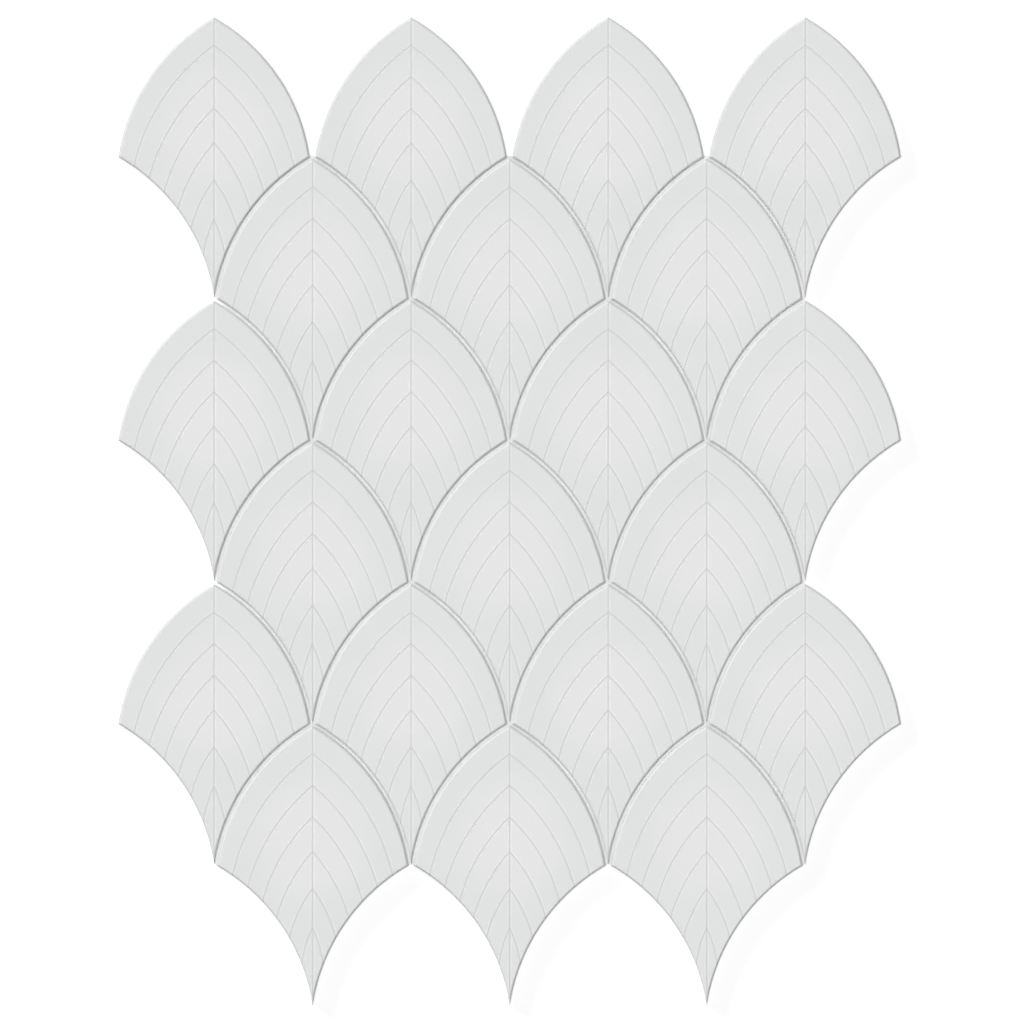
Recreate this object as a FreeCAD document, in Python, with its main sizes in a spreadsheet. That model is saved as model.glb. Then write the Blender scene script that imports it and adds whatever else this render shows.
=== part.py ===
"""Fish scale mosaic sheet: staggered rows of pointed scale tiles held at one joint width by a thin backing.

Every edge of every tile is an arc of one lattice. A tile's two shoulders bulge out to a pointed crown and its two
hollow flanks run down to a cusp. Each flank is concentric with the shoulder of the tile that nests in it, so the
joint keeps one width all along. The sheet lies flat, face up: +X runs along a row, +Y points to the crowns and +Z
is the face side. The origin is on the floor under the middle of the sheet.
"""
import FreeCAD
import Part
import Sketcher

import collections
import enum
import math
import os

# Number of rows, and of tiles in the longer rows; every second row is one tile shorter
ROWS = 6
COLUMNS = 4

# Driving dimensions in millimetres: alias, value, meaning
DRIVING_SIZES = [
    ("column_pitch", "65.7", "distance between neighbouring tiles of a row"),
    ("row_pitch", "47.25", "distance from one row to the next"),
    ("edge_radius", "64.9", "radius of a hollow flank"),
    ("joint_width", "1.0", "gap between a flank and the shoulder that nests in it"),
    ("tile_thickness", "6.0", "thickness of a tile"),
    ("arris_width", "0.65", "width and depth of the bevel round the face"),
    ("mesh_thickness", "0.5", "thickness of the backing mesh"),
    ("mesh_margin", "0.1", "how far the mesh stays inside the free edges of the tiles"),
]

# Sizes that follow from the driving dimensions: alias, formula, meaning
DERIVED_SIZES = [
    ("chord", "=sqrt((column_pitch / 2)^2 + row_pitch^2)", "straight distance between the ends of an edge"),
    ("reach", "=sqrt(edge_radius^2 - (chord / 2)^2)", "distance from the centre of an edge to its chord"),
    ("centre_across", "=row_pitch / chord * reach - column_pitch / 4", "edge centre, past the tile's midline"),
    ("centre_drop", "=column_pitch / 2 / chord * reach - row_pitch / 2", "edge centre, below the side corners"),
    ("shoulder_radius", "=edge_radius - joint_width", "radius of a shoulder"),
    ("crown_rise", "=sqrt(shoulder_radius^2 - centre_across^2) - centre_drop", "crown above the side corners"),
    ("first_line", f"=({ROWS} * row_pitch - crown_rise) / 2", "Y of the side corners of the first row"),
]

# The edges of a tile in walking order, anticlockwise from the crown, in column and row pitches from its middle
TileEdge = collections.namedtuple("TileEdge", "start centre_cell centre_side hollow")
TILE_EDGES = {
    "upper_left": TileEdge((0, 1), (0, 0), 1, False),
    "lower_left": TileEdge((-0.5, 0), (-0.5, -1), -1, True),
    "lower_right": TileEdge((0, -1), (0.5, -1), 1, True),
    "upper_right": TileEdge((0.5, 0), (0, 0), -1, False),
}

# A stretch of an outline, as expressions on the sizes, with the lattice point near which it starts
Arc = collections.namedtuple("Arc", "centre_x centre_y radius hollow start_x start_y")
LevelCut = collections.namedtuple("LevelCut", "height start_x start_y")

# A drawn stretch: its number in the sketch, and which of its ends is walked first and last
Drawn = collections.namedtuple("Drawn", "curve first last")

UP = FreeCAD.Vector(0, 0, 1)


class CurvePoint(enum.IntEnum):
    """How a sketch counts the points of a curve."""

    START = 1
    END = 2
    CENTRE = 3


# A sketch counts its X axis as curve -1, and that axis starts at the sketch's origin
SKETCH_ORIGIN = (-1, CurvePoint.START)


def make_sizes(doc):
    """Write the driving and derived dimensions to a spreadsheet."""
    sizes = doc.addObject("Spreadsheet::Sheet", "sizes")
    for line, (alias, content, meaning) in enumerate(DRIVING_SIZES + DERIVED_SIZES, start=1):
        sizes.set(f"A{line}", meaning)
        sizes.set(f"B{line}", content)
        sizes.setAlias(f"B{line}", alias)
    doc.recompute()


def row_columns(row):
    """Return the places of a row's tiles along X, in column pitches from the middle of the sheet."""
    count = COLUMNS - row % 2
    return [place - (count - 1) / 2 for place in range(count)]


def tile_arc(name, inset="0", tile_x="0", tile_y="0"):
    """Return a tile's edge, moved in by the inset; the texts give the inset and the middle of the tile."""
    edge = TILE_EDGES[name]
    cell_x, cell_y = edge.centre_cell
    start_x, start_y = edge.start
    return Arc(
        centre_x=f"{tile_x} + {cell_x} * sizes.column_pitch + {edge.centre_side} * sizes.centre_across",
        centre_y=f"{tile_y} + {cell_y} * sizes.row_pitch - sizes.centre_drop",
        radius=f"sizes.edge_radius + {inset}" if edge.hollow else f"sizes.shoulder_radius - {inset}",
        hollow=edge.hollow,
        start_x=f"{tile_x} + {start_x} * sizes.column_pitch",
        start_y=f"{tile_y} + {start_y} * sizes.row_pitch",
    )


def mesh_arc(name, row, column):
    """Return a free edge of one tile of the sheet, moved in by the margin of the mesh."""
    tile_x = f"{column} * sizes.column_pitch"
    tile_y = f"sizes.first_line - {row} * sizes.row_pitch"
    return tile_arc(name, "sizes.mesh_margin", tile_x, tile_y)


def mesh_notch(column):
    """Return the level cut that ends the mesh between two crowns of the first row."""
    return LevelCut(
        height="sizes.first_line - sizes.mesh_margin",
        start_x=f"{column} * sizes.column_pitch",
        start_y="sizes.first_line",
    )


def mesh_outline():
    """Return the outline of the mesh in walking order, anticlockwise from the first crown."""
    last_row = ROWS - 1
    end_column = row_columns(0)[-1]
    long_rows = [row for row in range(ROWS) if row % 2 == 0]
    stretches = []
    for row in long_rows:
        stretches += [mesh_arc("upper_left", row, -end_column), mesh_arc("lower_left", row, -end_column)]
    for column in row_columns(last_row):
        stretches += [mesh_arc("lower_left", last_row, column), mesh_arc("lower_right", last_row, column)]
    for row in reversed(long_rows):
        stretches += [mesh_arc("lower_right", row, end_column), mesh_arc("upper_right", row, end_column)]
    for column in reversed(row_columns(0)[1:]):
        stretches += [mesh_arc("upper_left", 0, column), mesh_notch(column - 0.5)]
        stretches += [mesh_arc("upper_right", 0, column - 1)]
    return stretches


def value(sketch, text):
    """Return what an expression on the sizes comes to."""
    return float(sketch.evalExpression(text))


def circle_of(sketch, arc):
    """Return the full circle that an arc lies on."""
    centre = FreeCAD.Vector(value(sketch, arc.centre_x), value(sketch, arc.centre_y), 0)
    return Part.Circle(centre, UP, value(sketch, arc.radius))


def meeting_point(sketch, before, after):
    """Return the point where one stretch of an outline ends and the next begins."""
    near = FreeCAD.Vector(value(sketch, after.start_x), value(sketch, after.start_y), 0)
    if isinstance(before, LevelCut):
        before, after = after, before
    circle = circle_of(sketch, before)
    if isinstance(after, LevelCut):
        along = FreeCAD.Vector(0, value(sketch, after.height) - circle.Center.y, 0)
        aside = FreeCAD.Vector(1, 0, 0)
    else:
        other = circle_of(sketch, after)
        between = other.Center - circle.Center
        share = between.Length ** 2 + circle.Radius ** 2 - other.Radius ** 2
        along = between * (share / (2 * between.Length ** 2))
        aside = UP.cross(between).normalize()
    half_span = math.sqrt(circle.Radius ** 2 - along.Length ** 2)
    foot = circle.Center + along
    return min((foot + aside * half_span, foot - aside * half_span), key=near.distanceToPoint)


def bind(sketch, kind, places, text):
    """Add a constraint whose value follows an expression on the sizes."""
    constraint = sketch.addConstraint(Sketcher.Constraint(kind, *places, value(sketch, text)))
    sketch.setExpression(f"Constraints[{constraint}]", text)


def draw_arc(sketch, arc, start, end):
    """Draw an arc with its centre and radius bound to the sizes; a hollow one is walked clockwise."""
    circle = circle_of(sketch, arc)
    low, high = (end, start) if arc.hollow else (start, end)
    shape = Part.ArcOfCircle(circle, circle.parameter(low), circle.parameter(high))
    curve = sketch.addGeometry(shape, False)
    bind(sketch, "DistanceX", (*SKETCH_ORIGIN, curve, CurvePoint.CENTRE), arc.centre_x)
    bind(sketch, "DistanceY", (*SKETCH_ORIGIN, curve, CurvePoint.CENTRE), arc.centre_y)
    bind(sketch, "Radius", (curve,), arc.radius)
    if arc.hollow:
        return Drawn(curve, CurvePoint.END, CurvePoint.START)
    return Drawn(curve, CurvePoint.START, CurvePoint.END)


def draw_level_cut(sketch, cut, start, end):
    """Draw a straight stretch along X with its height bound to the sizes."""
    curve = sketch.addGeometry(Part.LineSegment(start, end), False)
    sketch.addConstraint(Sketcher.Constraint("Horizontal", curve))
    bind(sketch, "DistanceY", (*SKETCH_ORIGIN, curve, CurvePoint.START), cut.height)
    return Drawn(curve, CurvePoint.START, CurvePoint.END)


def draw_outline(body, name, stretches):
    """Draw a closed outline of arcs and level cuts on the body's base plane and return the sketch."""
    sketch = body.newObject("Sketcher::SketchObject", name)
    base_plane = next(plane for plane in body.Origin.OriginFeatures if plane.Role == "XY_Plane")
    sketch.AttachmentSupport = [(base_plane, "")]
    sketch.MapMode = "FlatFace"
    starts = []
    for place, stretch in enumerate(stretches):
        starts.append(meeting_point(sketch, stretches[place - 1], stretch))
    drawn = []
    for stretch, start, end in zip(stretches, starts, starts[1:] + starts[:1]):
        draw = draw_level_cut if isinstance(stretch, LevelCut) else draw_arc
        drawn.append(draw(sketch, stretch, start, end))
    for before, after in zip(drawn, drawn[1:] + drawn[:1]):
        ends = (before.curve, before.last, after.curve, after.first)
        sketch.addConstraint(Sketcher.Constraint("Coincident", *ends))
    return sketch


def face_side(shape):
    """Return the name of the highest face of a solid."""
    heights = [face.CenterOfMass.z for face in shape.Faces]
    return f"Face{heights.index(max(heights)) + 1}"


def make_tile(doc, row, place, column):
    """Make one scale tile: its outline pressed to thickness, with a bevel round the face."""
    label = f"tile_row{row + 1}_{place + 1}"
    body = doc.addObject("PartDesign::Body", label)
    body.Label = label
    outline = draw_outline(body, f"{label}_outline", [tile_arc(name) for name in TILE_EDGES])
    slab = body.newObject("PartDesign::Pad", f"{label}_slab")
    slab.Profile = outline
    slab.setExpression("Length", "sizes.tile_thickness")
    doc.recompute()
    arris = body.newObject("PartDesign::Chamfer", f"{label}_arris")
    arris.Base = (slab, [face_side(slab.Shape)])
    arris.setExpression("Size", "sizes.arris_width")
    body.setExpression(".Placement.Base.x", f"{column} * sizes.column_pitch")
    body.setExpression(".Placement.Base.y", f"sizes.first_line - {row} * sizes.row_pitch")
    body.setExpression(".Placement.Base.z", "sizes.mesh_thickness")
    return body


def make_backing_mesh(doc):
    """Make the sheet of mesh under the tiles, cut back from their free edges."""
    body = doc.addObject("PartDesign::Body", "backing_mesh")
    body.Label = "backing_mesh"
    outline = draw_outline(body, "backing_mesh_outline", mesh_outline())
    web = body.newObject("PartDesign::Pad", "backing_mesh_web")
    web.Profile = outline
    web.setExpression("Length", "sizes.mesh_thickness")
    return body


def check(doc, bodies):
    """Stop with a plain message if any object failed or any piece isn't one valid solid."""
    for item in doc.Objects:
        if "Invalid" in item.State or "Error" in item.State:
            raise RuntimeError(f"{item.Label} failed: {item.State}")
    for body in bodies:
        shape = body.Shape
        if shape.isNull() or not shape.isValid() or len(shape.Solids) != 1:
            raise RuntimeError(f"{body.Label} isn't one valid solid")


def main():
    """Build the sheet, check it and write one file for each piece."""
    doc = FreeCAD.newDocument("fish_scale_sheet")
    make_sizes(doc)
    bodies = [make_backing_mesh(doc)]
    for row in range(ROWS):
        for place, column in enumerate(row_columns(row)):
            bodies.append(make_tile(doc, row, place, column))
    doc.recompute()
    check(doc, bodies)
    os.makedirs("parts", exist_ok=True)
    for body in bodies:
        body.Shape.exportStep(f"parts/{body.Label}.step")


main()
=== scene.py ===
"""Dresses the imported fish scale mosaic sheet: veined, glazed tiles on a net that is bedded in adhesive."""
import logging
import math
from dataclasses import dataclass
from enum import Enum
from typing import Dict, Iterator, List, Optional, Sequence, Tuple

import bmesh
import bpy
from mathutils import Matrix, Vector
from mathutils.bvhtree import BVHTree


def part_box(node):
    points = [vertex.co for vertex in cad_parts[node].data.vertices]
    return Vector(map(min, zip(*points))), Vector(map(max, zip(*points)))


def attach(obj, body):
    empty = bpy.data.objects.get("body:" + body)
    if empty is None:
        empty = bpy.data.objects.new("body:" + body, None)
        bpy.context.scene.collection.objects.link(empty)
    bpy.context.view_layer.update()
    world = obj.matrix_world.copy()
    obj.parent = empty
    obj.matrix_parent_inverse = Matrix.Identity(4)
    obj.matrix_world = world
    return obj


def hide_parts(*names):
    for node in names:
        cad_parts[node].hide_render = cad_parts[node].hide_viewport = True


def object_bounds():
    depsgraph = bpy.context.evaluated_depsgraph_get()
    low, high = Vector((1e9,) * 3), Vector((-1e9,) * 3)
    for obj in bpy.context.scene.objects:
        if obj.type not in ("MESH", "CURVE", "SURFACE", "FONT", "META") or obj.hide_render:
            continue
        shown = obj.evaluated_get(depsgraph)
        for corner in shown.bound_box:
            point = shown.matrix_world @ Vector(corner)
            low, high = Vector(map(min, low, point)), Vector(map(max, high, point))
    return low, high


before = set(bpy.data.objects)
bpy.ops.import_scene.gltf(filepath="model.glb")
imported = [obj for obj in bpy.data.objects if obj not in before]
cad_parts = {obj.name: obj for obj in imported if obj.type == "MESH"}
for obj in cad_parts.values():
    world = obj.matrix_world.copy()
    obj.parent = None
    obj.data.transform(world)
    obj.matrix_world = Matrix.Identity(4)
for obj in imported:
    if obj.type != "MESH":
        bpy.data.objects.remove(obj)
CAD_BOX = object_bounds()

LOG = logging.getLogger("fish_scale_sheet")
MM = 0.001
ROOT = "root"

Pair = Tuple[float, float]
Point = Tuple[float, float]
Span = Tuple[float, float]
Triple = Tuple[float, float, float]
Colour = Tuple[float, float, float, float]
Inputs = Dict[str, object]
Socket = bpy.types.NodeSocket

WHITE: Colour = (1.0, 1.0, 1.0, 1.0)
MIRRORED: Triple = (-1.0, 1.0, 1.0)

# Curve of display levels: the full level, the end and slope of its straight foot, and its power curve
FULL_LEVEL = 255.0
FOOT_END = 0.04045
FOOT_SLOPE = 12.92
CURVE_OFFSET = 0.055
CURVE_POWER = 2.4


class Slot(Enum):
    """Material slots of the record."""

    GLAZE = "glaze"
    MESH = "mesh"


class Mark(Enum):
    """What a mesh keeps at each vertex, for its material or its node tree to read."""

    # Groove shape that the glaze colour reads: painted shade in the grooves, a painted highlight on their
    # lips
    VEIN = "vein"
    HEART = "heart"
    SIDE = "side"


class Yarn(Enum):
    """The two ways that yarns of the net run, with the side on which each passes the first crossing."""

    WARP = 1.0
    WEFT = -1.0


def grey_of(level: float) -> float:
    """Turn a display level from 0 to 255 into linear light.

    Args:
        level: Brightness as a screen shows it.

    Returns:
        The linear value that a shader takes.
    """
    share = level / FULL_LEVEL
    if share <= FOOT_END:
        return share / FOOT_SLOPE
    return ((share + CURVE_OFFSET) / (1.0 + CURVE_OFFSET)) ** CURVE_POWER


def colour_of(red: float, green: float, blue: float) -> Colour:
    """Turn display levels from 0 to 255 into a linear, opaque colour."""
    return grey_of(red), grey_of(green), grey_of(blue), 1.0


def keep_mark(mesh: bpy.types.Mesh, mark: Mark, values: Sequence[float]) -> None:
    """Keep one number for each vertex of a mesh."""
    mesh.attributes.new(mark.value, "FLOAT", "POINT").data.foreach_set("value", values)


def add_object(name: str, data: bpy.types.ID) -> bpy.types.Object:
    """Make an object at the origin and link it to the scene.

    Args:
        name: Name of the object.
        data: Its mesh, lamp or camera.

    Returns:
        The new object.
    """
    made = bpy.data.objects.new(name, data)
    bpy.context.scene.collection.objects.link(made)
    return made


@dataclass(frozen=True)
class Circle:
    """A circle on the sheet's plane, in metres."""

    x: float
    y: float
    radius: float

    def grown(self, by: float) -> "Circle":
        """Return the concentric circle that is larger by a length."""
        return Circle(self.x, self.y, self.radius + by)

    def top_at(self, x: float) -> float:
        """Return the height of the circle's upper half above a place on X."""
        return self.y + math.sqrt(self.radius ** 2 - (x - self.x) ** 2)

    def angle_of(self, point: Point) -> float:
        """Return the direction of a point as seen from the centre."""
        return math.atan2(point[1] - self.y, point[0] - self.x)

    def point_at(self, angle: float) -> Point:
        """Return the point of the circle in a direction."""
        return self.x + self.radius * math.cos(angle), self.y + self.radius * math.sin(angle)

    def distance_in(self, point: Point) -> float:
        """Return how far a point lies inside the circle; it is negative outside."""
        return self.radius - math.hypot(point[0] - self.x, point[1] - self.y)

    def upper_crossing(self, other: "Circle") -> Point:
        """Return the higher of the two points that this circle shares with another.

        Args:
            other: The circle that crosses this one.

        Returns:
            The crossing point with the larger Y.
        """
        across, up = other.x - self.x, other.y - self.y
        gap = math.hypot(across, up)
        along = (gap ** 2 + self.radius ** 2 - other.radius ** 2) / (2 * gap)
        aside = math.sqrt(max(self.radius ** 2 - along ** 2, 0.0))
        foot_x, foot_y = self.x + across * along / gap, self.y + up * along / gap
        sign = 1.0 if across > 0 else -1.0
        return foot_x - sign * up * aside / gap, foot_y + sign * across * aside / gap


@dataclass(frozen=True)
class Lattice:
    """The arcs that every tile of the sheet shares."""

    column_pitch: float
    row_pitch: float
    edge_radius: float = 64.9 * MM
    joint: float = 1.0 * MM

    @staticmethod
    def of_packed_tiles() -> "Lattice":
        """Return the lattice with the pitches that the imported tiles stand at."""
        first, beside, below = (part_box(name)[0] for name in ("tile_row1_1", "tile_row1_2", "tile_row3_1"))
        return Lattice(beside.x - first.x, (first.y - below.y) / 2)

    def centre(self) -> Pair:
        """Find the centre of a shoulder.

        Returns:
            How far it lies across the tile's midline, and how far below the side corners.
        """
        chord = math.hypot(self.column_pitch / 2, self.row_pitch)
        reach = math.sqrt(self.edge_radius ** 2 - (chord / 2) ** 2)
        across = self.row_pitch / chord * reach - self.column_pitch / 4
        drop = self.column_pitch / 2 / chord * reach - self.row_pitch / 2
        return across, drop

    def shoulder(self) -> Circle:
        """Return the circle of a tile's right shoulder, about the middle of the tile."""
        across, drop = self.centre()
        return Circle(-across, -drop, self.edge_radius - self.joint)

    def flank(self) -> Circle:
        """Return the circle of a tile's hollow right flank, about the middle of the tile."""
        across, drop = self.centre()
        return Circle(self.column_pitch / 2 + across, -self.row_pitch - drop, self.edge_radius)


@dataclass(frozen=True)
class Arris:
    """The eased edge of a face: a narrow bevel with both of its corners rounded off."""

    width: float = 0.65 * MM
    fall: float = 0.65 * MM
    wall_radius: float = 0.14 * MM
    face_radius: float = 0.08 * MM
    # A line runs along each rounding at the first of so many parts of its width
    round_parts: int = 3
    # How far from the arris the first line of the flat face lies
    lead: float = 0.35 * MM

    def slope(self) -> float:
        """Return the angle of the bevel below the face."""
        return math.atan2(self.fall, self.width)

    def wall_tangent(self) -> float:
        """Return how far the rounding at the wall reaches along each side of its corner."""
        return self.wall_radius * math.tan((math.pi / 2 - self.slope()) / 2)

    def face_tangent(self) -> float:
        """Return how far the rounding at the face reaches along each side of its corner."""
        return self.face_radius * math.tan(self.slope() / 2)

    def wall_end(self) -> float:
        """Return how far in from the edge the rounding at the wall ends."""
        return self.wall_tangent() * math.cos(self.slope())

    def face_start(self) -> float:
        """Return how far in from the edge the rounding at the face starts."""
        return self.width - self.face_tangent() * math.cos(self.slope())

    def reach(self) -> float:
        """Return how far in from the edge the flat face begins."""
        return self.width + self.face_tangent()

    def drop(self, inside: float) -> float:
        """Return how far the surface lies below the face.

        Args:
            inside: Distance from the tile's edge.

        Returns:
            The depth, which is 0 on the flat face.
        """
        if inside < self.wall_end():
            short = self.wall_radius - max(inside, 0.0)
            return self.fall + self.wall_tangent() - math.sqrt(self.wall_radius ** 2 - short ** 2)
        if inside < self.face_start():
            return self.fall * (1.0 - inside / self.width)
        short = max(self.reach() - inside, 0.0)
        return self.face_radius - math.sqrt(self.face_radius ** 2 - short ** 2)

    def offsets(self) -> List[float]:
        """Set out the lines that run along the arris.

        Returns:
            How far in each line lies, from the edge to the first one on the flat face.
        """
        low, start, flat = self.wall_end(), self.face_start(), self.reach()
        wall_line = low / self.round_parts
        face_line = start + (flat - start) / self.round_parts
        return [0.0, wall_line, low, start, face_line, flat, flat + self.lead]


class NodeTree:
    """A tree of nodes that is built in code."""

    def __init__(self, tree: bpy.types.NodeTree) -> None:
        """Take hold of Blender's own tree."""
        self.tree = tree

    def feed(self, socket: Socket, value: object) -> None:
        """Link an input to a socket, or set the input's own value.

        Args:
            socket: Input of a node.
            value: Socket to link from, or a plain value.
        """
        if isinstance(value, Socket):
            self.tree.links.new(value, socket)
        else:
            socket.default_value = value

    def add(self, kind: str, inputs: Optional[Inputs] = None, **settings: object) -> bpy.types.Node:
        """Add a node.

        Args:
            kind: Blender's name of the node type.
            inputs: Sockets to link from, or values to set, by the name of the node's input.
            settings: Attributes of the node.

        Returns:
            The new node.
        """
        node = self.tree.nodes.new(kind)
        for name, value in settings.items():
            setattr(node, name, value)
        for name, value in (inputs or {}).items():
            self.feed(node.inputs[name], value)
        return node

    def math(self, operation: str, *values: object) -> Socket:
        """Add a math node.

        Args:
            operation: What it works out, in Blender's word.
            values: Numbers or sockets that it takes.

        Returns:
            The result.
        """
        node = self.add("ShaderNodeMath", operation=operation)
        for socket, value in zip(node.inputs, values):
            self.feed(socket, value)
        return node.outputs[0]


class GeometryTree(NodeTree):
    """A Geometry Nodes tree with named inputs, applied to give a plain mesh."""

    def __init__(self, name: str) -> None:
        """Start a tree that takes and gives geometry.

        Args:
            name: Name of the node group.
        """
        super().__init__(bpy.data.node_groups.new(name, "GeometryNodeTree"))
        for way in ("INPUT", "OUTPUT"):
            self.tree.interface.new_socket("Geometry", in_out=way, socket_type="NodeSocketGeometry")
        self.entry = self.tree.nodes.new("NodeGroupInput")
        self.exit = self.tree.nodes.new("NodeGroupOutput")

    def add_input(self, name: str, socket_type: str) -> Socket:
        """Add a named input and return its socket inside the tree."""
        self.tree.interface.new_socket(name, in_out="INPUT", socket_type=socket_type)
        return self.entry.outputs[name]

    def finish(self, geometry: Socket, material: Socket) -> None:
        """Close the tree with Realize Instances and Set Material.

        Args:
            geometry: Geometry socket to give out.
            material: Material socket for every face.
        """
        realized = self.add("GeometryNodeRealizeInstances", {"Geometry": geometry})
        dressed = self.add("GeometryNodeSetMaterial", {"Geometry": realized.outputs[0], "Material": material})
        self.feed(self.exit.inputs[0], dressed.outputs[0])

    def run(self, mesh: bpy.types.Mesh, name: str, values: Inputs) -> bpy.types.Object:
        """Run the tree on a mesh, which is used up, and keep the result.

        Args:
            mesh: Mesh that goes in.
            name: Name of the new object.
            values: Value of each named input.

        Returns:
            An object at the origin with the plain result and no modifier left.
        """
        piece = add_object(name, mesh)
        modifier = piece.modifiers.new(self.tree.name, "NODES")
        modifier.node_group = self.tree
        for item in self.tree.interface.items_tree:
            if item.in_out == "INPUT" and item.name in values:
                modifier[item.identifier] = values[item.name]
        depsgraph = bpy.context.evaluated_depsgraph_get()
        result = bpy.data.meshes.new_from_object(piece.evaluated_get(depsgraph))
        piece.modifiers.remove(modifier)
        piece.data = result
        result.name = name
        bpy.data.meshes.remove(mesh)
        return piece


@dataclass(frozen=True)
class Grain:
    """An uneven pattern: its patches to a metre, its finer detail, and the values between which it turns."""

    scale: float
    detail: float
    low: float = 0.0
    high: float = 1.0


class Shader(NodeTree):
    """A node material on one Principled shader."""

    def __init__(self, name: str) -> None:
        """Make the material.

        Args:
            name: Name of the material.
        """
        self.material = bpy.data.materials.new(name)
        self.material.use_nodes = True
        super().__init__(self.material.node_tree)
        self.surface = self.tree.nodes["Principled BSDF"]

    def place(self) -> Socket:
        """Return the place of the shaded point in the sheet's own frame."""
        return self.add("ShaderNodeTexCoord").outputs["Object"]

    def noise(self, grain: Grain, place: Optional[Socket] = None) -> Socket:
        """Return an uneven pattern around one half, read in the sheet's frame unless a place is given."""
        inputs = {"Vector": place or self.place(), "Scale": grain.scale, "Detail": grain.detail}
        return self.add("ShaderNodeTexNoise", inputs).outputs[0]

    def attribute(self, mark: Mark) -> Socket:
        """Return the value of one of the piece's own marks."""
        return self.add("ShaderNodeAttribute", attribute_name=mark.value).outputs["Fac"]

    def ramp(self, value: Socket, low: Pair, high: Pair) -> Socket:
        """Map a value smoothly from one pair of numbers to another.

        Args:
            value: Socket to map.
            low: Value that comes in and what it becomes, at the low end.
            high: The same at the high end.

        Returns:
            The mapped value.
        """
        ends = {"From Min": low[0], "To Min": low[1], "From Max": high[0], "To Max": high[1]}
        inputs = {"Value": value, **ends}
        return self.add("ShaderNodeMapRange", inputs, interpolation_type="SMOOTHSTEP").outputs[0]

    def turn(self, pattern: Socket, grain: Grain, first: float, last: float) -> Socket:
        """Return a number that goes from one value to another where a pattern turns."""
        return self.ramp(pattern, (grain.low, first), (grain.high, last))

    def mix(self, share: object, first: object, second: object) -> Socket:
        """Mix two colours.

        Args:
            share: Share of the second colour; below 0 and above 1 it goes past the colours.
            first: First colour.
            second: Second colour.

        Returns:
            The mixed colour.
        """
        node = self.add("ShaderNodeMix", data_type="RGBA", clamp_factor=False)
        colour_inputs = [socket for socket in node.inputs if socket.type == "RGBA"]
        for socket, value in zip([node.inputs[0]] + colour_inputs, (share, first, second)):
            self.feed(socket, value)
        return next(socket for socket in node.outputs if socket.type == "RGBA")

    def bump(self, height: Socket, depth: float, strength: float) -> Socket:
        """Return the normal of a surface that a pattern makes uneven."""
        inputs = {"Height": height, "Distance": depth, "Strength": strength}
        return self.add("ShaderNodeBump", inputs).outputs[0]

    def dress(self, inputs: Inputs) -> bpy.types.Material:
        """Feed the Principled shader.

        Args:
            inputs: Sockets or values, by the name of the shader's input.

        Returns:
            The finished material.
        """
        for name, value in inputs.items():
            self.feed(self.surface.inputs[name], value)
        return self.material


@dataclass(frozen=True)
class GlazeFinish:
    """White satin glaze over a pressed body that shows low on the sides and on the back."""

    rim: Colour = colour_of(223, 225, 224)
    heart: Colour = colour_of(229, 229, 229)
    # Vein colour: glaze pooled in the grooves, darkened further as painted shade in them; the clouds also
    # drift a little towards it
    vein: Colour = colour_of(202, 203, 202)
    body: Colour = colour_of(250, 251, 252)
    roughness: float = 0.55
    body_roughness: float = 0.85
    cloud: Grain = Grain(scale=55.0, detail=3.0, low=0.35, high=0.65)
    cloud_share: float = 0.06
    glaze_foot: float = 3.2 * MM
    foot_fade: float = 0.4 * MM
    foot_wander: float = 1.0 * MM
    foot_edge: Grain = Grain(scale=160.0, detail=3.0)
    ripple: Grain = Grain(scale=420.0, detail=2.0)
    ripple_depth: float = 0.02 * MM
    ripple_strength: float = 0.25

    def material(self) -> bpy.types.Material:
        """Build the glaze.

        Returns:
            A material that reads the tile's own heart and vein marks and its height above the floor.
        """
        shader = Shader("white_satin_glaze")
        toned = shader.mix(shader.attribute(Mark.HEART), self.rim, self.heart)
        clouds = shader.turn(shader.noise(self.cloud), self.cloud, 0.0, self.cloud_share)
        clouded = shader.mix(clouds, toned, self.vein)
        # The vein mark turns the grooves towards the vein colour, pooled glaze with painted shade, and below
        # 0 pales the lips as a painted highlight
        veined = shader.mix(shader.attribute(Mark.VEIN), clouded, self.vein)
        height = shader.add("ShaderNodeSeparateXYZ", {"Vector": shader.place()}).outputs["Z"]
        edge = shader.math("MULTIPLY_ADD", shader.noise(self.foot_edge), self.foot_wander, height)
        bare = shader.ramp(edge, (self.glaze_foot, 1.0), (self.glaze_foot + self.foot_fade, 0.0))
        return shader.dress({
            "Base Color": shader.mix(bare, veined, self.body),
            "Roughness": shader.ramp(bare, (0.0, self.roughness), (1.0, self.body_roughness)),
            "Normal": shader.bump(shader.noise(self.ripple), self.ripple_depth, self.ripple_strength),
        })


@dataclass(frozen=True)
class YarnFinish:
    """White coated glass fibre yarn."""

    # Lighter crest and darker hollow tones along the strand pattern, lit and shaded copies of one white:
    # painted shade of the strand relief
    lit_crest: Colour = colour_of(240, 240, 236)
    hollow: Colour = colour_of(208, 208, 201)
    roughness: float = 0.6
    worn_roughness: float = 0.8
    strand: Grain = Grain(scale=2600.0, detail=3.0, low=0.4, high=0.7)
    strand_depth: float = 0.05 * MM
    strand_strength: float = 0.6
    coat: Grain = Grain(scale=240.0, detail=2.0, low=0.3, high=0.7)

    def material(self) -> bpy.types.Material:
        """Build the coated yarn.

        Returns:
            A material with fine strands painted lighter and darker as light and shade, and uneven coating.
        """
        shader = Shader("white_coated_yarn")
        strands = shader.noise(self.strand)
        coat = shader.noise(self.coat)
        return shader.dress({
            "Base Color": shader.mix(shader.turn(strands, self.strand, 0.0, 1.0), self.lit_crest, self.hollow),
            "Roughness": shader.turn(coat, self.coat, self.roughness, self.worn_roughness),
            "Normal": shader.bump(strands, self.strand_depth, self.strand_strength),
        })


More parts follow.
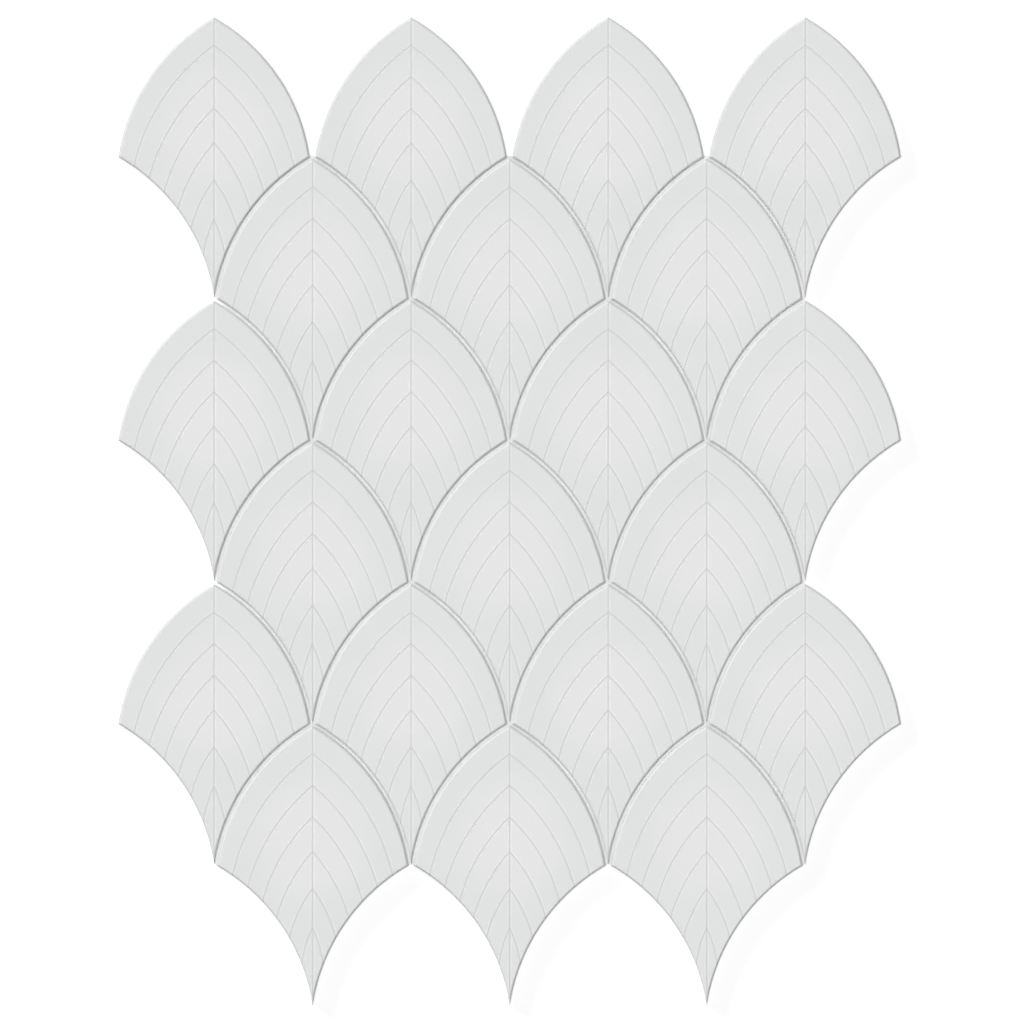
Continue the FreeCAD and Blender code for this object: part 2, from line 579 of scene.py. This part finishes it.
@dataclass(frozen=True)
class AdhesiveFinish:
    """White adhesive, spread thin with a brush and dried matt."""

    smooth: Colour = colour_of(252, 252, 253)
    streak: Colour = colour_of(247, 247, 248)
    roughness: float = 0.55
    dry_roughness: float = 0.85
    brush: Grain = Grain(scale=700.0, detail=3.0, low=0.35, high=0.7)
    brush_stretch: Triple = (1.0, 0.15, 1.0)
    brush_depth: float = 0.04 * MM
    brush_strength: float = 0.5
    patch: Grain = Grain(scale=90.0, detail=2.0, low=0.3, high=0.7)

    def material(self) -> bpy.types.Material:
        """Build the adhesive.

        Returns:
            A material with brushed streaks and patches of gloss.
        """
        shader = Shader("white_adhesive")
        stretched = shader.add("ShaderNodeMapping", {"Vector": shader.place(), "Scale": self.brush_stretch})
        streaks = shader.noise(self.brush, stretched.outputs[0])
        patches = shader.noise(self.patch)
        return shader.dress({
            "Base Color": shader.mix(shader.turn(streaks, self.brush, 0.0, 1.0), self.smooth, self.streak),
            "Roughness": shader.turn(patches, self.patch, self.roughness, self.dry_roughness),
            "Normal": shader.bump(streaks, self.brush_depth, self.brush_strength),
        })


@dataclass(frozen=True)
class Vein:
    """One chevron vein: where it leaves the midrib, where it meets the flank, and how it bows."""

    tip: float
    end: float
    radius: float

    def circle(self, flank: Circle) -> Circle:
        """Return the circle that the right branch of the vein lies on.

        Args:
            flank: Circle of the right flank, on which the vein ends.

        Returns:
            The circle through both ends that bows outwards.
        """
        end_y = flank.top_at(self.end)
        across, down = self.end, end_y - self.tip
        chord = math.hypot(across, down)
        reach = math.sqrt(self.radius ** 2 - (chord / 2) ** 2)
        centre_x = across / 2 + down / chord * reach
        centre_y = self.tip + down / 2 - across / chord * reach
        return Circle(centre_x, centre_y, self.radius)

    def towards(self, other: "Vein", share: float) -> "Vein":
        """Find a line between this vein and another.

        Args:
            other: Line at the far side.
            share: Share of the way to it.

        Returns:
            The line in between.
        """
        return Vein(
            self.tip + (other.tip - self.tip) * share,
            self.end + (other.end - self.end) * share,
            self.radius + (other.radius - self.radius) * share,
        )

    @staticmethod
    def along(circle: Circle, flank: Circle) -> "Vein":
        """Return the line that a circle draws from the midrib to the flank."""
        return Vein(circle.top_at(0.0), circle.upper_crossing(flank)[0], circle.radius)


@dataclass
class ScaleTile:
    """One pressed scale tile, built as its right half and mirrored."""

    lattice: Lattice
    glaze: bpy.types.Material
    veins: Sequence[Vein] = (
        Vein(tip=36.7 * MM, end=26.7 * MM, radius=68.1 * MM),
        Vein(tip=26.2 * MM, end=21.7 * MM, radius=67.0 * MM),
        Vein(tip=15.65 * MM, end=16.7 * MM, radius=58.4 * MM),
        Vein(tip=4.1 * MM, end=12.1 * MM, radius=54.7 * MM),
        Vein(tip=-8.25 * MM, end=7.75 * MM, radius=44.3 * MM),
        Vein(tip=-21.25 * MM, end=3.6 * MM, radius=43.1 * MM),
    )
    vein_width: float = 0.6 * MM
    vein_depth: float = 0.05 * MM
    # How much deeper and darker two veins are where they meet: more pooled glaze, and painted shade in the
    # deeper crossing
    vein_pool_and_shade: float = 0.35
    # How far down the wall the marks of the face fade out
    vein_fade: float = 0.15 * MM
    # Painted highlight: how much paler the lips outside and inside a chevron are coloured, standing in for
    # lit lips beside the grooves
    outer_lip_highlight: float = 0.25
    inner_lip_highlight: float = 0.08
    lip_width: float = 0.6 * MM
    lip_lines: int = 3
    shoulder_arris: Arris = Arris()
    flank_arris: Arris = Arris(width=0.54 * MM)
    middle_columns: int = 24
    band_rows: int = 2
    cusp_rows: int = 12
    # Largest share of a line that the points gathered at one of its ends may take
    gathered: float = 0.35
    heart: Point = (0.0, 9.0 * MM)
    heart_spread: Pair = (18.0 * MM, 19.0 * MM)
    crease: float = math.radians(40.0)
    weld: float = 0.002 * MM

    def __post_init__(self) -> None:
        """Work out the arcs of the half tile and the tree that completes it."""
        self.shoulder = self.lattice.shoulder()
        self.flank = self.lattice.flank()
        self.vein_circles = [vein.circle(self.flank) for vein in self.veins]
        self.cusp = -self.lattice.row_pitch
        self.tree = self.press_tree()

    def groove_offsets(self) -> List[float]:
        """Return the places of the lines across a vein and its lip, from the vein's middle outwards."""
        half, lines = self.vein_width / 2, range(1, self.lip_lines + 1)
        return [0.0, half / 2, half] + [half + self.lip_width * line / self.lip_lines for line in lines]

    def row_circles(self) -> List[Circle]:
        """Return the lines of the half face in order from the shoulder to the cusp.

        Returns:
            Circles that follow the eased shoulder, then each vein and the bands between them.
        """
        groups = [[self.shoulder.grown(-offset) for offset in self.shoulder_arris.offsets()]]
        across = self.groove_offsets()
        for circle in self.vein_circles:
            grown = [circle.grown(offset) for offset in reversed(across)]
            groups.append(grown + [circle.grown(-offset) for offset in across[1:]])
        rows = list(groups[0])
        for before, group in zip(groups, groups[1:]):
            rows += self.band(before[-1], Vein.along(group[0], self.flank), self.band_rows)
            rows += group
        last = Vein.along(rows[-1], self.flank)
        rows += self.band(rows[-1], Vein(self.cusp, 0.0, last.radius), self.cusp_rows)
        return rows

    def band(self, start: Circle, end: Vein, count: int) -> List[Circle]:
        """Space lines evenly between a line and a later one.

        Args:
            start: Line before the band.
            end: Line after the band.
            count: Number of lines in the band.

        Returns:
            The lines in order, without the two at the ends.
        """
        first = Vein.along(start, self.flank)
        shares = [step / (count + 1) for step in range(1, count + 1)]
        return [first.towards(end, share).circle(self.flank) for share in shares]

    def row_points(self, row: Circle) -> List[Point]:
        """Return the points of one line of the half face, from the midrib to the flank.

        Args:
            row: Circle that the line follows.

        Returns:
            Points gathered at the midrib's groove and at the flank's arris.
        """
        start = row.angle_of((0.0, row.top_at(0.0)))
        turn = row.angle_of(row.upper_crossing(self.flank)) - start
        grooves, rims = self.groove_offsets(), self.flank_arris.offsets()
        near = []
        for step, offset in enumerate(grooves):
            angle = math.acos(min((offset - row.x) / row.radius, 1.0))
            near.append(min((angle - start) / turn, self.gathered * step / len(grooves)))
        far = []
        for step, offset in enumerate(rims):
            angle = row.angle_of(row.upper_crossing(self.flank.grown(offset)))
            far.append(max((angle - start) / turn, 1.0 - self.gathered * step / len(rims)))
        far.reverse()
        gap = (far[0] - near[-1]) / (self.middle_columns + 1)
        middle = [near[-1] + gap * step for step in range(1, self.middle_columns + 1)]
        return [row.point_at(start + turn * share) for share in near + middle + far]

    def rim_drop(self, point: Point) -> float:
        """Return how far the eased rim lies below the face at a point."""
        shoulder_drop = self.shoulder_arris.drop(self.shoulder.distance_in(point))
        return max(shoulder_drop, self.flank_arris.drop(-self.flank.distance_in(point)))

    def groove(self, gap: float, lip: float) -> float:
        """Return the shape of one vein.

        Args:
            gap: Distance from the vein's middle line.
            lip: How much paler the lip beside the vein is coloured, as a painted highlight.

        Returns:
            1 at the bottom of the vein, 0 on the face, and less than 0 on the lip, where a highlight is
            painted.
        """
        half = self.vein_width / 2
        if gap < half:
            return 0.5 * (1 + math.cos(math.pi * gap / half))
        return -lip * math.sin(math.pi * min((gap - half) / self.lip_width, 1.0))

    def vein_share(self, point: Point) -> float:
        """Return how deep a point lies in the veins.

        Args:
            point: Place on the face.

        Returns:
            The shape of the nearest vein, below 0 on its lips where a highlight is painted, and more than 1
            at the meeting of two veins, which is cut deeper and coloured darker with pooled glaze and painted
            shade.
        """
        gaps = [(abs(point[0]), self.outer_lip_highlight)]
        for circle in self.vein_circles:
            inside = circle.distance_in(point)
            gaps.append((abs(inside), self.inner_lip_highlight if inside > 0 else self.outer_lip_highlight))
        nearest, second = sorted(gaps)[:2]
        return self.groove(*nearest) + self.vein_pool_and_shade * max(self.groove(*second), 0.0)

    def heart_share(self, point: Point) -> float:
        """Return how near a point lies to the pale middle of the face.

        Args:
            point: Place on the face.

        Returns:
            1 in the middle, falling to 0 towards the rim.
        """
        across = (point[0] - self.heart[0]) / self.heart_spread[0]
        up = (point[1] - self.heart[1]) / self.heart_spread[1]
        return math.exp(-(across ** 2 + up ** 2) ** 2)

    @staticmethod
    def face_grid(rows: int, width: int) -> List[Sequence[int]]:
        """Join the points of the half face.

        Args:
            rows: Number of lines.
            width: Number of points on a line.

        Returns:
            Four-sided faces between the lines, and three-sided ones from the last line to the cusp's point.
        """
        corners = [row * width + column for row in range(rows - 1) for column in range(width - 1)]
        faces = [(corner, corner + width, corner + width + 1, corner + 1) for corner in corners]
        last, tip = (rows - 1) * width, rows * width
        return faces + [(last + column, tip, last + column + 1) for column in range(width - 1)]

    @staticmethod
    def wall(upper: Sequence[int], lower: Sequence[int]) -> List[Sequence[int]]:
        """Return the faces of a wall between two rings of points."""
        pairs = list(zip(upper, lower))
        return [(a, b, b_foot, a_foot) for (a, a_foot), (b, b_foot) in zip(pairs, pairs[1:])]

    def half_mesh(self, low: float, high: float) -> bpy.types.Mesh:
        """Build the right half of a tile about its middle.

        Args:
            low: Height of the back.
            high: Height of the face.

        Returns:
            The half's mesh, open along the midline, with its vein and heart marks.
        """
        rows = [self.row_points(row) for row in self.row_circles()]
        width = len(rows[0])
        points = [point for row in rows for point in row] + [(0.0, self.cusp)]
        veins = [self.vein_share(point) for point in points]
        hearts = [self.heart_share(point) for point in points]
        cuts = [self.vein_depth * max(vein, 0.0) for vein in veins]
        vertices = [(*point, high - self.rim_drop(point) - cut) for point, cut in zip(points, cuts)]
        flank_side = [row * width + width - 1 for row in range(1, len(rows))]
        rim = list(range(width)) + flank_side + [len(points) - 1]
        under_rim = range(len(points), len(points) + len(rim))
        foot = range(under_rim.stop, under_rim.stop + len(rim))
        edge = [vertices[place] for place in rim]
        vertices += [(x, y, z - self.vein_fade) for x, y, z in edge]
        vertices += [(x, y, low) for x, y, _ in edge]
        faces = self.face_grid(len(rows), width) + self.wall(rim, under_rim) + self.wall(under_rim, foot)
        mesh = bpy.data.meshes.new("scale_half")
        mesh.from_pydata(vertices, [], faces + [tuple(foot)])
        plain = [0.0] * (len(vertices) - len(points))
        keep_mark(mesh, Mark.VEIN, veins + plain)
        keep_mark(mesh, Mark.HEART, hearts + plain)
        return mesh

    def press_tree(self) -> GeometryTree:
        """Build the tree that mirrors a half tile, softens it and sets it in its place.

        Returns:
            A tree with inputs for the place, the width of a weld, the crease angle and the glaze.
        """
        tree = GeometryTree("press_scale")
        place = tree.add_input("Place", "NodeSocketVector")
        weld = tree.add_input("Weld", "NodeSocketFloat")
        crease = tree.add_input("Crease", "NodeSocketFloat")
        glaze = tree.add_input("Glaze", "NodeSocketMaterial")
        half = tree.entry.outputs["Geometry"]
        turned = tree.add("GeometryNodeTransform", {"Geometry": half, "Scale": MIRRORED})
        flipped = tree.add("GeometryNodeFlipFaces", {"Mesh": turned.outputs[0]})
        joined = tree.add("GeometryNodeJoinGeometry")
        for side in (half, flipped.outputs[0]):
            tree.feed(joined.inputs[0], side)
        whole = tree.add("GeometryNodeMergeByDistance", {"Geometry": joined.outputs[0], "Distance": weld})
        smooth = tree.add("GeometryNodeSetShadeSmooth", {"Geometry": whole.outputs[0]})
        bend = tree.add("GeometryNodeInputMeshEdgeAngle").outputs[0]
        creased = tree.add(
            "GeometryNodeSetShadeSmooth",
            {
                "Geometry": smooth.outputs[0],
                "Selection": tree.math("GREATER_THAN", bend, crease),
                "Shade Smooth": False,
            },
            domain="EDGE",
        )
        moved = tree.add("GeometryNodeTransform", {"Geometry": creased.outputs[0], "Translation": place})
        tree.finish(moved.outputs[0], glaze)
        return tree

    def build(self, node: str) -> bpy.types.Object:
        """Make the tile that stands for one packed tile.

        Args:
            node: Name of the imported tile.

        Returns:
            The finished piece.
        """
        low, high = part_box(node)
        values = {
            "Place": ((low.x + high.x) / 2, low.y - self.cusp, 0.0),
            "Weld": self.weld,
            "Crease": self.crease,
            "Glaze": self.glaze,
        }
        piece = self.tree.run(self.half_mesh(low.z, high.z), f"veined_{node}", values)
        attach(piece, ROOT)
        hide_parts(node)
        return piece


@dataclass
class BackingMesh:
    """The net under the tiles, bedded from above in a thin coat of white adhesive."""

    yarn: bpy.types.Material
    adhesive: bpy.types.Material
    spacing: float = 5.0 * MM
    yarn_width: float = 1.0 * MM
    yarn_thickness: float = 0.18 * MM
    # Adhesive above the highest yarns, and the height of its underside above the back
    cover: float = 0.04 * MM
    bed_level: float = 0.3 * MM
    weld: float = 0.001 * MM
    # Step past a crossing before the search for the next one
    ray_step: float = 0.01 * MM
    node: str = "backing_mesh"

    def spans(self, outline: BVHTree, start: Vector, way: Vector) -> List[Span]:
        """Find where a straight line runs inside the outline.

        Args:
            outline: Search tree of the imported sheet.
            start: Point outside the sheet where the line begins.
            way: Direction of the line.

        Returns:
            Pairs of distances from the start, where the line goes in and comes out.
        """
        crossings: List[float] = []
        travelled = 0.0
        while True:
            place, _, _, length = outline.ray_cast(start + way * travelled, way)
            if place is None:
                break
            travelled += length
            crossings.append(travelled)
            travelled += self.ray_step
        return list(zip(crossings[::2], crossings[1::2]))

    def yarn_spans(self, outline: BVHTree, start: Vector, way: Vector) -> List[Span]:
        """Find where the whole width of a yarn runs inside the outline.

        Args:
            outline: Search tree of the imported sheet.
            start: Point outside the sheet where the yarn's middle line begins.
            way: Direction of the yarn.

        Returns:
            Pairs of distances from the start, without stretches that are shorter than a yarn is wide.
        """
        aside = Vector((-way.y, way.x, 0.0)) * (self.yarn_width / 2)
        left, right = (self.spans(outline, start + edge, way) for edge in (aside, -aside))
        shared = [(max(a[0], b[0]), min(a[1], b[1])) for a in left for b in right]
        return [(near, far) for near, far in shared if far - near > self.yarn_width]

    def lines(self) -> Iterator[Tuple[Yarn, List[Vector]]]:
        """Lay the yarns of both ways over the sheet.

        Yields:
            Each yarn's way, and the points of its middle line, two to each square of the net.
        """
        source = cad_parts[self.node].data
        corners = [vertex.co.copy() for vertex in source.vertices]
        outline = BVHTree.FromPolygons(corners, [tuple(face.vertices) for face in source.polygons])
        low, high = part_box(self.node)
        level = (low.z + high.z - self.cover) / 2
        for yarn in Yarn:
            along, across = (1, 0) if yarn is Yarn.WARP else (0, 1)
            way = Vector((0.0, 0.0, 0.0))
            way[along] = 1.0
            first = math.ceil(low[across] / self.spacing)
            last = math.floor(high[across] / self.spacing)
            for count in range(first, last + 1):
                start = Vector((0.0, 0.0, level))
                start[across] = count * self.spacing
                start[along] = low[along] - self.spacing
                for near, far in self.yarn_spans(outline, start, way):
                    yield yarn, self.stations(start, way, start[along] + near, start[along] + far)

    def stations(self, start: Vector, way: Vector, low: float, high: float) -> List[Vector]:
        """Place the points of one yarn.

        Args:
            start: Point on the yarn's line.
            way: Direction of the yarn, along X or Y.
            low: Where it is cut at one end, along its way.
            high: Where it is cut at the other end.

        Returns:
            Its cut ends, and a point at every half square between them.
        """
        half = self.spacing / 2
        inner = [place * half for place in range(math.ceil(low / half), math.floor(high / half) + 1)]
        places = [low] + [place for place in inner if low < place < high] + [high]
        return [start + way * (place - start.dot(way)) for place in places]

    def path_mesh(self) -> bpy.types.Mesh:
        """Draw the middle lines of all yarns.

        Returns:
            One mesh of edges that keeps the side of each yarn.
        """
        vertices: List[Vector] = []
        edges: List[Tuple[int, int]] = []
        sides: List[float] = []
        for yarn, points in self.lines():
            base = len(vertices)
            vertices += points
            edges += [(base + place, base + place + 1) for place in range(len(points) - 1)]
            sides += [yarn.value] * len(points)
        mesh = bpy.data.meshes.new("net_paths")
        mesh.from_pydata(vertices, edges, [])
        keep_mark(mesh, Mark.SIDE, sides)
        return mesh

    def weave_tree(self) -> GeometryTree:
        """Build the tree that waves each middle line over and under and gives it a flat section.

        Returns:
            A tree with inputs for the spacing, the wave, the section of a yarn and its coat.
        """
        tree = GeometryTree("weave_net")
        spacing = tree.add_input("Spacing", "NodeSocketFloat")
        wave = tree.add_input("Wave", "NodeSocketFloat")
        width = tree.add_input("Yarn Width", "NodeSocketFloat")
        thickness = tree.add_input("Yarn Thickness", "NodeSocketFloat")
        coat = tree.add_input("Coat", "NodeSocketMaterial")
        position = tree.add("GeometryNodeInputPosition").outputs[0]
        place = tree.add("ShaderNodeSeparateXYZ", {"Vector": position})
        side = tree.add("GeometryNodeInputNamedAttribute", {"Name": Mark.SIDE.value}, data_type="FLOAT")
        squares = tree.math("DIVIDE", tree.math("ADD", place.outputs["X"], place.outputs["Y"]), spacing)
        turn = tree.math("COSINE", tree.math("MULTIPLY", squares, math.pi))
        rise = tree.math("MULTIPLY", tree.math("MULTIPLY", turn, side.outputs[0]), wave)
        offset = tree.add("ShaderNodeCombineXYZ", {"Z": rise}).outputs[0]
        paths = tree.entry.outputs["Geometry"]
        waved = tree.add("GeometryNodeSetPosition", {"Geometry": paths, "Offset": offset})
        curves = tree.add("GeometryNodeMeshToCurve", {"Mesh": waved.outputs[0]})
        level = tree.add("GeometryNodeSetCurveNormal", {"Curve": curves.outputs[0]}, mode="Z_UP")
        section = tree.add(
            "GeometryNodeCurvePrimitiveQuadrilateral", {"Width": width, "Height": thickness}, mode="RECTANGLE"
        )
        yarns = tree.add(
            "GeometryNodeCurveToMesh",
            {"Curve": level.outputs[0], "Profile Curve": section.outputs[0], "Fill Caps": True},
        )
        tree.finish(yarns.outputs[0], coat)
        return tree

    def net(self) -> bpy.types.Object:
        """Make the woven net.

        Returns:
            The finished piece.
        """
        low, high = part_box(self.node)
        values = {
            "Spacing": self.spacing,
            "Wave": (high.z - low.z - self.cover - self.yarn_thickness) / 2,
            "Yarn Width": self.yarn_width,
            "Yarn Thickness": self.yarn_thickness,
            "Coat": self.yarn,
        }
        return self.weave_tree().run(self.path_mesh(), "woven_backing_net", values)

    def bed(self) -> bpy.types.Object:
        """Make the coat of adhesive, which closes the net from above and lets its yarns show below.

        Returns:
            The finished piece.
        """
        low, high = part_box(self.node)
        sheet = bmesh.new()
        sheet.from_mesh(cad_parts[self.node].data)
        bmesh.ops.remove_doubles(sheet, verts=sheet.verts, dist=self.weld)
        for vertex in sheet.verts:
            if vertex.co.z < (low.z + high.z) / 2:
                vertex.co.z = low.z + self.bed_level
        mesh = bpy.data.meshes.new("adhesive_bed")
        sheet.to_mesh(mesh)
        sheet.free()
        mesh.materials.append(self.adhesive)
        return add_object("adhesive_bed", mesh)

    def build(self) -> List[bpy.types.Object]:
        """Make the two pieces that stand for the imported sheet.

        Returns:
            The net and its bed.
        """
        pieces = [self.net(), self.bed()]
        for piece in pieces:
            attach(piece, ROOT)
            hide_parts(self.node)
        return pieces


@dataclass(frozen=True)
class Lamp:
    """A distant lamp: its part of the light on a level surface, where it stands and how wide it looks."""

    name: str
    share: float
    turn: float
    height: float
    spread: float

    def build(self) -> bpy.types.Object:
        """Add the lamp.

        Returns:
            The lamp, turned to shine on the origin.
        """
        data = bpy.data.lights.new(self.name, "SUN")
        data.energy = self.share * math.pi / math.sin(self.height)
        data.angle = self.spread
        lamp = add_object(self.name, data)
        level = math.cos(self.height)
        away = Vector((math.cos(self.turn) * level, math.sin(self.turn) * level, math.sin(self.height)))
        lamp.rotation_euler = away.to_track_quat("Z", "Y").to_euler()
        lamp.location = away
        return lamp


@dataclass(frozen=True)
class StripLight:
    """A long, narrow light high above the sheet, made of a row of distant lamps that share its light."""

    share: float = 0.572
    lean: float = math.radians(2.1)
    lean_turn: float = math.radians(122.0)
    step: float = math.radians(3.8)
    row_turn: float = math.radians(232.0)
    spread: float = math.radians(2.0)
    places: Sequence[int] = (-1, 0, 1)

    def lamps(self) -> List[Lamp]:
        """Set out the row.

        Returns:
            Lamps at even steps along the row, whose middle leans a little from straight above.
        """
        middle = Vector((math.cos(self.lean_turn), math.sin(self.lean_turn))) * self.lean
        stride = Vector((math.cos(self.row_turn), math.sin(self.row_turn))) * self.step
        share = self.share / len(self.places)
        lamps = []
        for number, place in enumerate(self.places, start=1):
            tilt = middle + stride * place
            turn = math.atan2(tilt.y, tilt.x)
            height = math.pi / 2 - tilt.length
            lamps.append(Lamp(f"strip_{number}", share, turn, height, self.spread))
        return lamps


@dataclass
class Studio:
    """White floor, a soft light from the upper left, a strip light and a distant camera straight above."""

    key: Lamp = Lamp(
        name="key",
        share=0.257,
        turn=math.radians(138.0),
        height=math.radians(25.5),
        spread=math.radians(26.0),
    )
    strip: StripLight = StripLight()
    sky_share: float = 0.095
    picture_pixels: int = 1024
    pixels_per_mm: float = 3.0
    aim: Point = (0.75 * MM, -0.13 * MM)
    lens: float = 1000.0
    sensor: float = 36.0
    far_clip: float = 100.0
    floor_size: float = 6.0
    floor_level: float = -0.05 * MM
    floor_grey: float = 0.5
    # Glow to the camera and to reflections that takes the lit floor to white
    floor_lift: float = 0.63

    @staticmethod
    def seen_share(tree: NodeTree, strength: float) -> Socket:
        """Return a strength that counts only where the camera, a reflection or glass looks at the surface.

        Args:
            tree: Node tree of the surface or the world.
            strength: Strength for those rays.

        Returns:
            A socket with that strength, and 0 for all other rays.
        """
        rays = tree.add("ShaderNodeLightPath").outputs
        seen = tree.math("MAXIMUM", rays["Is Camera Ray"], rays["Is Glossy Ray"])
        seen = tree.math("MAXIMUM", seen, rays["Is Transmission Ray"])
        return tree.math("MULTIPLY", seen, strength)

    def floor(self) -> bpy.types.Object:
        """Make the floor.

        Returns:
            The floor, white to the camera and still able to take a shadow.
        """
        half, level = self.floor_size / 2, self.floor_level
        corners = [(-half, -half, level), (half, -half, level), (half, half, level), (-half, half, level)]
        mesh = bpy.data.meshes.new("floor")
        mesh.from_pydata(corners, [], [(0, 1, 2, 3)])
        shader = Shader("white_floor")
        mesh.materials.append(shader.dress({
            "Base Color": (self.floor_grey, self.floor_grey, self.floor_grey, 1.0),
            "Roughness": 1.0,
            "Specular IOR Level": 0.0,
            "Emission Color": WHITE,
            "Emission Strength": self.seen_share(shader, self.floor_lift),
        }))
        floor = add_object("floor", mesh)
        return floor

    def sky(self) -> None:
        """Set the world: plain white to the camera, and a weak even light on the object."""
        world = bpy.data.worlds.new("studio")
        world.use_nodes = True
        tree = NodeTree(world.node_tree)
        background = tree.tree.nodes["Background"]
        lift = self.seen_share(tree, 1.0 - self.sky_share)
        tree.feed(background.inputs["Color"], WHITE)
        tree.feed(background.inputs["Strength"], tree.math("ADD", lift, self.sky_share))
        bpy.context.scene.world = world

    def camera(self, face_level: float) -> bpy.types.Object:
        """Add the camera straight above, upright with +Y.

        Args:
            face_level: Height of the faces, at which the picture has its stated scale.

        Returns:
            The camera.
        """
        data = bpy.data.cameras.new("camera")
        data.lens = self.lens
        data.sensor_width = self.sensor
        data.clip_end = self.far_clip
        camera = add_object("camera", data)
        view_width = self.picture_pixels / self.pixels_per_mm * MM
        camera.location = (*self.aim, face_level + view_width * self.lens / self.sensor)
        bpy.context.scene.camera = camera
        return camera

    def build(self) -> None:
        """Set the floor, the lights and the camera."""
        self.floor()
        self.sky()
        for lamp in [self.key] + self.strip.lamps():
            lamp.build()
        self.camera(CAD_BOX[1][2])
        bpy.context.scene.view_settings.view_transform = "Standard"


def main() -> None:
    """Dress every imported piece, light it and report it."""
    logging.basicConfig(level=logging.INFO, format="%(message)s")
    tile = ScaleTile(Lattice.of_packed_tiles(), GlazeFinish().material())
    pieces = [tile.build(node) for node in sorted(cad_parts) if node.startswith("tile_")]
    pieces += BackingMesh(YarnFinish().material(), AdhesiveFinish().material()).build()
    for piece in pieces:
        LOG.info("%s: %d faces", piece.name, len(piece.data.polygons))
    Studio().build()


if __name__ == "__main__":
    main()
